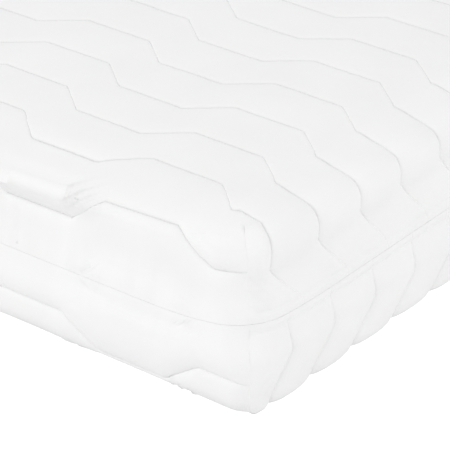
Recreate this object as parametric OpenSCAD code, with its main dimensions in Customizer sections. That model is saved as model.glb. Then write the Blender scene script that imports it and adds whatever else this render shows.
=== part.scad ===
// Pressure relief mattress: a foam core in a quilted cover that zips apart all round.
// X runs along the length, Y across the width, Z up. The underside is at z = 0.

/* [Mattress] */
// Length of the mattress
mattress_l = 2000; // [1800:10:2200]
// Width of the mattress
mattress_w = 900; // [700:10:1200]
// Height of the mattress
mattress_h = 200; // [190:1:230]
// Distance of every corner's centre from the two sides
corner_c = 56; // [50:1:60]

/* [Cover] */
// Thickness of the knitted face fabric
fabric_t = 1.2; // [0.8:0.1:1.4]
// Thickness of the wadding between the stitch lines
wadding_t = 8; // [6:0.5:8]
// Thickness of the lining
lining_t = 0.8; // [0.4:0.1:0.8]
// Thickness of the wadding where it is pressed flat at the zip
hem_wadding_t = 1.5; // [1:0.1:1.5]
// Radius of the bottom edge
bottom_r = 18; // [14:1:24]
// How far the upper cover's sides stand inside the lower cover's
upper_inset = 14; // [13:0.5:16]

/* [Zip] */
// Height of the middle of the zip
zip_z = 97; // [96:0.5:100]
// How far the cover's edges are drawn in at the zip
hem_inset = 11; // [11:0.5:12]
// Height of the gap between the two covers
hem_gap = 10.4; // [10.4:0.2:12]
// Height of the chain of both coils
chain_w = 6; // [6:0.1:6.4]
// Gap between the two coils
coil_gap = 1.2; // [1.1:0.1:1.4]
// Depth of a coil
coil_t = 2.4; // [2:0.1:2.4]
// Width of a tape from its coil to its outer edge
tape_w = 14.4; // [12:0.2:15]
// Length of the slider
slider_l = 14; // [12:0.5:16]
// Length of the pull from its pin
pull_l = 30; // [24:1:36]

/* [Foam core] */
// How far the base stands inside the lower cover's side
base_inset = 18; // [18:0.5:20]
// How far the upper foam stands inside the lower cover's side
core_inset = 28; // [28:0.5:30]
// Height of the firm base
base_h = 60; // [50:1:66]
// Height of the visco layer
visco_h = 50; // [40:1:56]
// Width of a side bolster
bolster_w = 90; // [70:5:110]
// Width of a cell between the cuts in the visco layer
cell_l = 96; // [80:2:120]
// Depth of the cuts in the visco layer
cell_depth = 34; // [20:1:36]

/* [Hidden] */
$fn = 64;

// Colours
white_knit = [0.95, 0.95, 0.95];
white_wadding = [0.90, 0.92, 0.94];
white_lining = [0.86, 0.87, 0.89];
white_tape = [0.93, 0.93, 0.94];
white_coil = [0.98, 0.98, 0.98];
zip_metal = [0.80, 0.81, 0.83];
label_white = [0.97, 0.97, 0.95];
visco_cream = [0.96, 0.92, 0.80];
comfort_white = [0.90, 0.93, 0.92];
bolster_blue = [0.62, 0.72, 0.82];
base_grey = [0.78, 0.79, 0.80];

// Depths below the face, on the open cover and where it is pressed flat at the zip
wadding_d = fabric_t;
lining_d = wadding_d + wadding_t;
cover_t = lining_d + lining_t;
hem_lining_d = fabric_t + hem_wadding_t;
hem_t = hem_lining_d + lining_t;

// Heights of the covers' sides
lower_hem_z = zip_z - hem_gap / 2;
upper_hem_z = zip_z + hem_gap / 2;
hem_flat = 5.8;
waist_h = 20;
waist_power = 1.8;
top_r = corner_c - upper_inset;

// Places of the zip, measured in from the lower cover's side
binding_t = 0.9;
tape_t = 0.6;
tape_d = hem_inset + hem_t + binding_t;
coil_d = tape_d - coil_t;
coil_h = (chain_w - coil_gap) / 2;
seam_lap = 9.8;

// The zip's two ends meet on the +Y side, near the -X corner
join_x = -mattress_l / 2 + 60;
join_gap = 22;
slider_x = join_x + join_gap + 2;

// Heights of the foam
core_clearance = 0.5;
base_z = cover_t + core_clearance;
mid_z = base_z + base_h;
core_top = mattress_h - cover_t - 1.5;
visco_z = core_top - visco_h;
cut_w = 3;

// A profile drawn with x = 0 on the cover's side, x < 0 inside it, carried round all four sides
module carried_round() {
    for (k = [0:3]) {
        half_l = (k % 2 == 0 ? mattress_l : mattress_w) / 2;
        half_w = (k % 2 == 0 ? mattress_w : mattress_l) / 2;
        rotate([0, 0, 90 * k]) {
            translate([corner_c - half_l, half_w, 0])
                rotate([90, 0, 90]) linear_extrude(2 * (half_l - corner_c)) children();
            translate([half_l - corner_c, half_w - corner_c, 0])
                rotate_extrude(angle = 90) translate([corner_c, 0]) children();
        }
    }
}

// A flat sheet between the four corners' centres
module middle_sheet(z, thickness) {
    translate([corner_c - mattress_l / 2, corner_c - mattress_w / 2, z])
        cube([mattress_l - 2 * corner_c, mattress_w - 2 * corner_c, thickness]);
}

// A strip with a rectangular section, depth d to d + t inside the side, carried round
module strip_round(d, t, z, h) {
    carried_round() translate([-d - t, z]) square([t, h]);
}

// A block with rounded vertical corners, its sides a distance inset inside the cover's side
module rounded_block(inset, z, h) {
    carried_round() translate([-corner_c, z]) square([corner_c - inset, h]);
    middle_sheet(z, h);
}

function reversed(list) = [for (i = [len(list) - 1:-1:0]) list[i]];

// Depth of a layer's boundary on the way from the open cover (s = 0) to the hem (s = 1)
function pressed(d, hem_d, s) = d + (hem_d - d) * s;

// Boundary of a layer of the lower cover, from the middle of the underside up to its hem
function lower_line(d, hem_d) = concat(
    [[-corner_c, d]],
    [for (a = [0:15:90]) [(bottom_r - d) * sin(a) - bottom_r, bottom_r - (bottom_r - d) * cos(a)]],
    [for (s = [0:0.25:1]) [-hem_inset * pow(s, waist_power) - pressed(d, hem_d, s),
        lower_hem_z - hem_flat - waist_h * (1 - s)]],
    [[-hem_inset - hem_d, lower_hem_z]]);

// Boundary of a layer of the upper cover, from its hem up to the middle of the top
function upper_line(d, hem_d) = concat(
    [[-hem_inset - hem_d, upper_hem_z],
        [-hem_inset - hem_d, upper_hem_z + seam_lap + 0.2],
        [-upper_inset - d, upper_hem_z + hem_flat + waist_h]],
    [for (a = [0:15:90]) [(top_r - d) * cos(a) - corner_c, mattress_h - top_r + (top_r - d) * sin(a)]]);

// One layer of the lower cover, between two depths
module lower_layer(d1, hem_d1, d2, hem_d2) {
    carried_round() polygon(concat(lower_line(d1, hem_d1), reversed(lower_line(d2, hem_d2))));
    middle_sheet(d1, d2 - d1);
}

// One layer of the upper cover, between two depths
module upper_layer(d1, hem_d1, d2, hem_d2) {
    carried_round() polygon(concat(upper_line(d1, hem_d1), reversed(upper_line(d2, hem_d2))));
    middle_sheet(mattress_h - d2, d2 - d1);
}

module lower_cover_fabric() {
    color(white_knit) lower_layer(0, 0, wadding_d, fabric_t);
}

module lower_cover_wadding() {
    color(white_wadding) lower_layer(wadding_d, fabric_t, lining_d, hem_lining_d);
}

module lower_cover_lining() {
    color(white_lining) lower_layer(lining_d, hem_lining_d, cover_t, hem_t);
}

module upper_cover_fabric() {
    color(white_knit) upper_layer(0, 0, wadding_d, fabric_t);
}

module upper_cover_wadding() {
    color(white_wadding) upper_layer(wadding_d, fabric_t, lining_d, hem_lining_d);
}

module upper_cover_lining() {
    color(white_lining) upper_layer(lining_d, hem_lining_d, cover_t, hem_t);
}

// Seam allowance that stands inside each vertical corner seam, from radius r - depth to r
module corner_allowances(r, depth, z, h) {
    thickness = 2.4;
    for (sx = [-1, 1], sy = [-1, 1]) {
        translate([sx * (mattress_l / 2 - corner_c), sy * (mattress_w / 2 - corner_c), z])
            rotate([0, 0, atan2(sy, sx)])
            translate([r - depth, -thickness / 2, 0]) cube([depth, thickness, h]);
    }
}

module lower_corner_seams() {
    color(white_lining) corner_allowances(corner_c - cover_t - 0.2, 6, bottom_r, 46);
}

module upper_corner_seams() {
    color(white_lining) corner_allowances(top_r - cover_t - 0.2, 3, 130, 27);
}

module lower_hem_binding() {
    color(white_tape) strip_round(hem_inset + hem_t, binding_t, lower_hem_z - seam_lap, seam_lap);
}

module upper_hem_binding() {
    color(white_tape) strip_round(hem_inset + hem_t, binding_t, upper_hem_z, seam_lap);
}

module lower_zip_tape() {
    color(white_tape) strip_round(tape_d, tape_t, zip_z - coil_gap / 2 - tape_w, tape_w);
}

module upper_zip_tape() {
    color(white_tape) strip_round(tape_d, tape_t, zip_z + coil_gap / 2, tape_w);
}

// A coil all round, left out where the zip's two ends meet
module coil(z) {
    difference() {
        strip_round(coil_d, coil_t, z, coil_h);
        translate([join_x, mattress_w / 2 - coil_d - 2 * coil_t, z - 1])
            cube([join_gap, 3 * coil_t, coil_h + 2]);
    }
}

module lower_zip_coil() {
    color(white_coil) coil(zip_z - coil_gap / 2 - coil_h);
}

module upper_zip_coil() {
    color(white_coil) coil(zip_z + coil_gap / 2);
}

// A block on the outside of the tape on the +Y side
module on_tape(x, l, d, z, h) {
    translate([x, mattress_w / 2 - tape_d, z]) cube([l, d, h]);
}

module lower_top_stop() {
    color(zip_metal) on_tape(join_x + join_gap - 3.5, 3, coil_t, zip_z - coil_gap / 2 - coil_h, coil_h);
}

module upper_top_stop() {
    color(zip_metal) on_tape(join_x + join_gap - 3.5, 3, coil_t, zip_z + coil_gap / 2, coil_h);
}

module zip_end_box() {
    color(zip_metal) on_tape(join_x + 0.5, 9, coil_t + 0.2, lower_hem_z + 0.5, 4.4);
}

module zip_insertion_pin() {
    pin_r = 1.1;
    color(zip_metal)
        translate([join_x + 0.5, mattress_w / 2 - tape_d + pin_r, zip_z + coil_gap / 2 + pin_r])
        rotate([0, 90, 0]) cylinder(r = pin_r, h = 10);
}

module care_label() {
    label_l = 60;
    label_h = 44;
    label_t = 0.4;
    color(label_white)
        translate([mattress_l / 2 - tape_d - tape_t - label_t, -150, lower_hem_z - label_h - 6])
        cube([label_t, label_l, label_h]);
}

// Straight cuts across the width, centred on the length
module cross_cuts(count, pitch, width, w, z, h) {
    for (i = [0:count - 1]) {
        translate([(i - (count - 1) / 2) * pitch - w / 2, -width / 2, z]) cube([w, width, h]);
    }
}

module base_core() {
    color(base_grey) difference() {
        rounded_block(base_inset, base_z, base_h);
        cross_cuts(13, 130, mattress_w, 4, base_z - 1, 26);
    }
}

module comfort_layer() {
    half_w = mattress_w / 2 - core_inset - bolster_w;
    color(comfort_white) difference() {
        translate([core_inset - mattress_l / 2, -half_w, mid_z])
            cube([mattress_l - 2 * core_inset, 2 * half_w, visco_z - mid_z]);
        cross_cuts(21, 84, mattress_w, 4, visco_z - 30, 31);
    }
}

// The bolster on the +Y side: the outer strip of the core between the base and the visco layer
module bolster() {
    intersection() {
        rounded_block(core_inset, mid_z, visco_z - mid_z);
        translate([-mattress_l / 2, mattress_w / 2 - core_inset - bolster_w, mid_z - 1])
            cube([mattress_l, bolster_w + core_inset, visco_z - mid_z + 2]);
    }
}

module left_bolster() {
    color(bolster_blue) mirror([0, 1, 0]) bolster();
}

module right_bolster() {
    color(bolster_blue) bolster();
}

module visco_cube_layer() {
    edge_r = corner_c - core_inset;
    outline = concat(
        [[-corner_c, visco_z], [-core_inset, visco_z]],
        [for (a = [0:15:90]) [edge_r * cos(a) - corner_c, core_top - edge_r + edge_r * sin(a)]]);
    border = core_inset + 40;
    count_x = floor((mattress_l - 2 * border) / cell_l);
    count_y = floor((mattress_w - 2 * border) / cell_l);
    grid_l = count_x * cell_l;
    grid_w = count_y * cell_l;
    color(visco_cream) difference() {
        union() {
            carried_round() polygon(outline);
            middle_sheet(visco_z, visco_h);
        }
        cross_cuts(count_x + 1, cell_l, grid_w + cut_w, cut_w, core_top - cell_depth, cell_depth + 1);
        rotate([0, 0, 90])
            cross_cuts(count_y + 1, cell_l, grid_l + cut_w, cut_w, core_top - cell_depth, cell_depth + 1);
    }
}

// Slider: front and back plates joined by a thin post between the coils, with two ears and a pin in front.
// Its lower lip holds the lower coil, and it is open upwards so that the upper coil can leave.
pin_d = 9;
pin_r = 0.8;
eye_r = 1.6;
ear_t = 1.6;
plate_z = lower_hem_z + 0.5;
plate_h = hem_gap - 1;
front_t = 1.6;
back_t = 1;
hinge_x = slider_x + slider_l / 2;

// A box in the slider's own terms: x along the chain, depth in from the side, z up
module at_depth(x, l, d, t, z, h) {
    translate([x, mattress_w / 2 - d - t, z]) cube([l, t, h]);
}

module zip_slider() {
    front_d = coil_d - 0.4 - front_t;
    back_d = tape_d + tape_t + 0.3;
    post_h = coil_gap / 2;
    color(zip_metal) {
        at_depth(slider_x, slider_l, front_d, front_t, plate_z, plate_h);
        at_depth(slider_x, slider_l, back_d, back_t, plate_z, plate_h);
        at_depth(slider_x, slider_l, front_d, tape_d - front_d - 0.4, plate_z, 1.2);
        at_depth(hinge_x, slider_l / 2 - 1, front_d, back_d - front_d + back_t, zip_z - post_h / 2, post_h);
        for (z = [plate_z + 1.2, plate_z + plate_h - 1.2 - ear_t])
            at_depth(hinge_x - eye_r, 2 * eye_r, pin_d - eye_r, front_d - pin_d + eye_r + 0.2, z, ear_t);
        translate([hinge_x, mattress_w / 2 - pin_d, plate_z + 1.2])
            cylinder(r = pin_r, h = plate_h - 2.4);
    }
}

module zip_pull() {
    eye_h = plate_h - 2.4 - 2 * ear_t - 0.4;
    tab_t = 1.6;
    tab_h = 7.6;
    neck_l = 5;
    color(zip_metal) difference() {
        union() {
            translate([hinge_x, mattress_w / 2 - pin_d, zip_z - eye_h / 2]) cylinder(r = eye_r, h = eye_h);
            at_depth(hinge_x, neck_l, pin_d - tab_t / 2, tab_t, zip_z - eye_h / 2, eye_h);
            at_depth(hinge_x + neck_l - 1, pull_l - neck_l - tab_h / 2 + 1,
                pin_d - tab_t / 2, tab_t, zip_z - tab_h / 2, tab_h);
            translate([hinge_x + pull_l - tab_h / 2, mattress_w / 2 - pin_d + tab_t / 2, zip_z])
                rotate([90, 0, 0]) cylinder(d = tab_h, h = tab_t);
        }
        translate([hinge_x, mattress_w / 2 - pin_d, zip_z - eye_h]) cylinder(r = pin_r + 0.06, h = 2 * eye_h);
        translate([hinge_x + pull_l - tab_h / 2, mattress_w / 2 - pin_d + tab_t, zip_z])
            rotate([90, 0, 0]) cylinder(d = 3, h = 2 * tab_t);
    }
}

lower_cover_fabric();
lower_cover_wadding();
lower_cover_lining();
lower_corner_seams();
lower_hem_binding();
lower_zip_tape();
lower_zip_coil();
lower_top_stop();
zip_end_box();
care_label();
base_core();
comfort_layer();
left_bolster();
right_bolster();
visco_cube_layer();
upper_cover_fabric();
upper_cover_wadding();
upper_cover_lining();
upper_corner_seams();
upper_hem_binding();
upper_zip_tape();
upper_zip_coil();
upper_top_stop();
zip_insertion_pin();
zip_slider();
zip_pull();
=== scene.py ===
import math

import bpy
import numpy as np
from mathutils import Matrix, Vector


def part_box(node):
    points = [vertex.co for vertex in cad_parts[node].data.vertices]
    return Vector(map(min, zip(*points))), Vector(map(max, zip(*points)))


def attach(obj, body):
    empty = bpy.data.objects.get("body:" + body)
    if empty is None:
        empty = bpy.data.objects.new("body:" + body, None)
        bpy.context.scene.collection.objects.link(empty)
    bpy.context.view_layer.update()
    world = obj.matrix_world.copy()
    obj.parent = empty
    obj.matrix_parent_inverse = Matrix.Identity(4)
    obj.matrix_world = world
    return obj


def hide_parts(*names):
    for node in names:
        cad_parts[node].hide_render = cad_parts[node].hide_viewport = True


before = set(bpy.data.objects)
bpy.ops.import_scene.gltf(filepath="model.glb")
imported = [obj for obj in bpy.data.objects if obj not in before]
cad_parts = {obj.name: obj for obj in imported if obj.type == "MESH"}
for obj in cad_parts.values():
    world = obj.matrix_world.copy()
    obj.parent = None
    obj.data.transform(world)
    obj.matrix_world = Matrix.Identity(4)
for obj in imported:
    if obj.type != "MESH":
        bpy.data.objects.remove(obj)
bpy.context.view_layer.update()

# ---------------------------------------------------------------------------------------------
# Lower cover, outer fabric: a tray of white quilted double jersey under the foam. One panel is
# quilted on a multi-needle machine, folded up round the four sides, closed by a seam at each
# corner, and hemmed where the zip is sewn in. Everything below is in millimetres until a mesh
# is made.
HALF_L = 1000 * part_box("lower_cover_fabric")[1].x
HALF_W = 1000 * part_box("lower_cover_fabric")[1].y
CORNER = 56.0  # from both sides to the centre of each rounded corner
ZIP_Z = 97.0
SIDE_SAG, END_SAG, CORNER_LIFT = 7.5, 3.0, 7.0  # of the zip: near side, foot end, near corners
OVERHANG, OVERHANG_Z = 21.0, 178.0  # of the top edge of each long side, and its widest level
HEM_REACH, HEM_FLARE = 5.05, 1.6  # how far each hem closes over the coil, and stands out there
LINE_GAP = 75.0  # between two needles
# Each stitch line steps sideways by WAVE_SHIFT and back, once in every WAVE_LENGTH: out along a
# slant RISE long, straight on, and back along one FALL long that ends at RETURN. The first repeat
# starts LEAD short of the foot end, and WAVE_SLIP more on each line.
WAVE_LENGTH, WAVE_SHIFT, WAVE_SLIP = 272.0, 38.0, 2.16
RISE, FALL, RETURN, LEAD = 45.5, 45.0, 181.5, 257.5


def wave_run(x, line):
    """How far a point is into its repeat of the stitch pattern."""
    return np.mod(x - HALF_L + LEAD + WAVE_SLIP * line, WAVE_LENGTH)


def wave(x, line):
    """Sideways shift of a stitch line: straight runs joined by short slants."""
    run = wave_run(x, line)
    return WAVE_SHIFT * np.clip(np.minimum(run / RISE, (RETURN - run) / FALL), 0, 1)


def soft_noise(x, y, size_x, size_y, seed):
    """Smooth noise from -1 to 1 with lumps of the size given."""
    rows, columns = 97, 89
    lattice = np.random.default_rng(seed).uniform(-1, 1, (rows, columns))
    gx, gy = x / size_x + 1000.5, y / size_y + 1000.5
    ix, iy = np.floor(gx).astype(int), np.floor(gy).astype(int)
    tx, ty = gx - ix, gy - iy
    tx, ty = tx * tx * (3 - 2 * tx), ty * ty * (3 - 2 * ty)
    ix0, iy0, ix1, iy1 = ix % rows, iy % columns, (ix + 1) % rows, (iy + 1) % columns
    return ((lattice[ix0, iy0] * (1 - tx) + lattice[ix1, iy0] * tx) * (1 - ty)
            + (lattice[ix0, iy1] * (1 - tx) + lattice[ix1, iy1] * tx) * ty)


def zip_rise(x, y):
    """How far the zip stands above or below its level. It is straight on the far side, for the slider."""
    near = np.exp(-(np.hypot(np.abs(x) - HALF_L, y + HALF_W) / 70) ** 2)
    side = -SIDE_SAG * np.clip((-y - HALF_W + 60) / 40, 0, 1)
    end = -END_SAG * np.clip((x - HALF_L + 60) / 40, 0, 1) * np.clip((HALF_W - 40 - y) / 200, 0, 1)
    return np.minimum(side, end) * (1 - near) + CORNER_LIFT * near


class Cover:
    """A quilted panel folded over the foam. u and v run along the cloth, flat over the middle and on
    down (or up) the flaps. The outline tells where the stitch lines lie on the way round the edge."""

    def __init__(self, outline, cloth_drop, dart, radii, first_line, up, hang=0.0, quiet_past=1e3):
        outline = np.array(outline, float)
        run = np.r_[0, np.cumsum(np.hypot(*np.diff(outline, axis=0).T))]
        self.length = run[-1]
        fine = np.linspace(0, self.length, 400)
        padded = [np.interp(fine, run, outline[:, i]) for i in (0, 1)]
        kernel = np.hanning(31) / np.hanning(31).sum()
        for _ in range(2):
            wide = [np.r_[2 * c[0] - c[15:0:-1], c, 2 * c[-1] - c[-2:-17:-1]] for c in padded]
            padded = [np.convolve(c, kernel, "valid") for c in wide]
        self.fine, (self.inset, self.level) = fine, padded
        self.flat_in, self.drop, self.dart = outline[0, 0], cloth_drop, dart
        self.flat_u, self.flat_v = HALF_L - self.flat_in, HALF_W - self.flat_in
        self.radii, self.first_line, self.up = radii, first_line, up
        self.hang, self.quiet_past = hang, quiet_past

    def depth(self, u, v):
        """How far past the flat middle a point is, along u and along v."""
        return np.maximum(np.abs(u) - self.flat_u, 0), np.maximum(np.abs(v) - self.flat_v, 0)

    def held(self, u, v):
        """The points held inside the panel's outline and its corner seams."""
        u, v = np.clip(u, -self.flat_u - self.drop, self.flat_u + self.drop), np.clip(
            v, -self.flat_v - self.drop, self.flat_v + self.drop)
        su, sv = self.depth(u, v)
        on_end = su >= sv
        limit_u, limit_v = self.flat_u + self.dart, self.flat_v + self.dart
        v = np.where(on_end & (su > self.dart), np.clip(v, -limit_v, limit_v), v)
        u = np.where(~on_end & (sv > self.dart), np.clip(u, -limit_u, limit_u), u)
        return u, v

    def line_at(self, u, v):
        """Number of the stitch line at a point, with the fraction on the way to the next one."""
        line = (v + HALF_W - self.first_line) / LINE_GAP
        for _ in range(4):
            line = (v + HALF_W - self.first_line - wave(u, line)) / LINE_GAP
        return line

    def line_v(self, u, line):
        return self.first_line - HALF_W + LINE_GAP * line + wave(u, line)

    def place(self, u, v):
        """Place on the bare outline and the outward direction there."""
        u, v = np.asarray(u, float), np.asarray(v, float)
        su, sv = self.depth(u, v)
        end = su >= sv
        s = np.where(end, su, sv)
        past = np.minimum(su, sv) / np.maximum(np.minimum(s, self.dart), 1e-6)
        hang = self.hang * np.exp(-((s - 85) / 35) ** 2) * ~end * (1 - np.clip(past, 0, 1)) ** 2
        t = np.minimum(s * self.length / self.drop + hang, self.length)
        inset, level = np.interp(t, self.fine, self.inset), np.interp(t, self.fine, self.level)
        step = 0.5
        t0, t1 = np.maximum(t - step, 0), np.minimum(t + step, self.length)
        out = np.interp(t0, self.fine, self.inset) - np.interp(t1, self.fine, self.inset)
        rise = np.interp(t1, self.fine, self.level) - np.interp(t0, self.fine, self.level)
        size = np.hypot(out, rise)
        n_out, n_z = (-rise / size, out / size) if self.up else (rise / size, -out / size)
        radius = np.interp(s, *zip(*self.radii))
        along = np.where(end, v, u)
        half = np.where(end, HALF_W, HALF_L)
        flat = half - self.flat_in
        inner = flat - 30
        cloth = flat + np.minimum(s, self.dart)
        straight = half - inset - radius
        real = straight + radius * math.pi / 4
        share = np.clip((np.abs(along) - inner) / (cloth - inner), 0, 1)
        path = np.where(np.abs(along) <= inner, np.abs(along), inner + share * (real - inner))
        angle = np.clip((path - straight) / np.maximum(radius, 1e-6), 0, math.pi / 4)
        across = np.where(path > straight, straight + radius * np.sin(angle), path)
        forward = np.where(end, HALF_L, HALF_W) - inset - radius * (1 - np.cos(angle))
        sign_along = np.where(along < 0, -1.0, 1.0)
        sign_face = np.where(np.where(end, u, v) < 0, -1.0, 1.0)
        n_fwd, n_side = np.cos(angle), np.sin(angle)
        x = np.where(s == 0, u, np.where(end, sign_face * forward, sign_along * across))
        y = np.where(s == 0, v, np.where(end, sign_along * across, sign_face * forward))
        nx = np.where(end, sign_face * n_fwd, sign_along * n_side) * n_out
        ny = np.where(end, sign_along * n_side, sign_face * n_fwd) * n_out
        z = level + zip_rise(x, y) * np.exp(-((level - ZIP_Z) / 34) ** 2) * (s > 0)
        if self.up:  # the top edge of each long side hangs out over the side below it
            spread = np.where(level > OVERHANG_Z, 13, 17)
            edge = OVERHANG * np.exp(-((level - OVERHANG_Z) / spread) ** 2)
            edge *= np.clip((HALF_L - 60 - np.abs(x)) / 270, 0, 1)
            y = y + np.where(end | (s == 0), 0, sign_face) * edge
        # The hems close over the coil, except on the far side, where they leave room for the slider.
        closed = np.clip((HALF_W - 40 - y) / 60, 0, 1) * np.exp(-(self.drop - s) / 11)
        z += -HEM_REACH * closed if self.up else HEM_REACH * closed
        x, y = x + nx * HEM_FLARE * closed, y + ny * HEM_FLARE * closed
        return np.stack([x, y, z], -1), np.stack([nx, ny, n_z], -1)

    def grid(self, flat_step, flap_step, fractions):
        """Points of the panel, lined up with the stitch lines, and its faces. The dart at each corner
        is cut out, and what lies past the hem is drawn back to it. Rows are closer at the hem."""
        even = np.arange(flap_step, self.drop - 11, flap_step)
        near_hem = self.drop - np.array([10, 8.8, 7.6, 6, 4.4, 2.8, 1.2, 0])
        flap = np.unique(np.r_[even, near_hem, self.dart - 1.5, self.dart])
        count = int(2 * self.flat_u / flat_step)
        u = np.r_[-self.flat_u - flap[::-1], np.linspace(-self.flat_u, self.flat_u, count),
                  self.flat_u + flap]
        low = math.floor((-self.drop + self.flat_in - self.first_line - WAVE_SHIFT) / LINE_GAP) - 1
        high = math.ceil((2 * HALF_W + self.drop - self.first_line) / LINE_GAP) + 1
        lines = np.concatenate([k + np.array(fractions) for k in range(low, high)])
        uu = np.repeat(u[:, None], len(lines), 1)
        vv = self.line_v(uu, lines[None, :])
        uu, vv = self.held(uu, vv)
        su, sv = self.depth(uu, vv)
        cut = np.minimum(su, sv) >= self.dart - 1e-6
        keys, number = np.unique(np.round(np.stack([uu.ravel(), vv.ravel()], 1), 2), axis=0,
                                 return_inverse=True)
        number = number.reshape(uu.shape)
        corners = np.stack([number[:-1, :-1], number[1:, :-1], number[1:, 1:], number[:-1, 1:]], -1)
        gone = cut[:-1, :-1] & cut[1:, :-1] & cut[1:, 1:] & cut[:-1, 1:]
        faces = []
        for quad in corners[~gone].tolist():
            face = [p for i, p in enumerate(quad) if p != quad[i - 1]]
            if len(face) > 2 and len(set(face)) == len(face):
                faces.append(face if self.up else face[::-1])
        return keys[:, 0], keys[:, 1], faces


def new_piece(name, points, faces):
    """A piece from points in millimetres and from faces."""
    mesh = bpy.data.meshes.new(name)
    mesh.from_pydata(points / 1000, [], faces)
    mesh.validate()
    piece = bpy.data.objects.new(name, mesh)
    bpy.context.collection.objects.link(piece)
    return piece


def pick(piece):
    """Selects one piece and nothing else."""
    bpy.ops.object.select_all(action="DESELECT")
    piece.select_set(True)
    bpy.context.view_layer.objects.active = piece


def smooth(piece, degrees):
    """Shades a piece smooth, except at edges sharper than the angle given."""
    pick(piece)
    bpy.ops.object.shade_smooth_by_angle(angle=math.radians(degrees))


def layer_mesh(name, cover, grid, outer, inner, painted_shade=None):
    """A closed layer between two heights over the cover's outline, with its open edges joined. The
    painted shade says how much shade is painted on each point of the outer face, in the stitched grooves,
    from 0 to 1."""
    u, v, faces = grid
    place, away = cover.place(u, v)
    points = np.concatenate([place + away * outer[:, None], place + away * inner[:, None]])
    if not cover.up:
        points[:, 2] = np.maximum(points[:, 2], 0.05)
    count = len(u)
    edges = {}
    for face in faces:
        for i, a in enumerate(face):
            edge = (face[i - 1], a)
            if edge[::-1] in edges:
                del edges[edge[::-1]]
            else:
                edges[edge] = True
    whole = faces + [[p + count for p in face[::-1]] for face in faces]
    whole += [[b, a, a + count, b + count] for a, b in edges]
    used = np.unique(np.concatenate([np.array(f) for f in whole]))
    back = np.full(2 * count, -1)
    back[used] = np.arange(len(used))
    piece = new_piece(name, points[used], [back[f].tolist() for f in whole])
    # Painted shade: how much each point of the outer face is darkened in the stitched grooves, kept on the
    # mesh for its material.
    if painted_shade is not None:
        groove_shade = piece.data.attributes.new("groove_shade", "FLOAT", "POINT")
        groove_shade.data.foreach_set("value", np.concatenate([painted_shade, 0 * painted_shade])[used])
    smooth(piece, 62)
    return piece


def on_slant(u, line, falling):
    """1 on the short slants of a stitch line that fall towards the foot end, or on those that rise."""
    middle = 159.0 if falling else 22.7
    return np.clip(1.6 - np.abs(wave_run(u, line) - middle) / 20, 0, 1)


def painted_groove_shade(cover, u, v):
    """Painted shade in the stitched grooves: 1 at the thread on the straight runs of a stitch line, falling
    to 0 within 2 mm of it. On the short slants the cloth lies slack, and no shade is painted."""
    su, sv = cover.depth(u, v)
    s = np.maximum(su, sv)
    line = cover.line_at(u, v)
    nearest = np.round(line)
    slack = on_slant(u, nearest, True) * (s < 60)
    slack += on_slant(u, nearest, False) * (sv > su) * (s > 45)
    shown = np.clip(1 - slack, 0, 1) * np.where(sv > su, np.clip((cover.quiet_past - sv) / 10, 0, 1),
                                                np.clip((88 - s) / 14, 0, 1))
    shown *= np.interp(s, [25, 50], [1, 0.45])
    return shown * np.exp(-np.abs(line - nearest) * LINE_GAP / 0.8)


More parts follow.
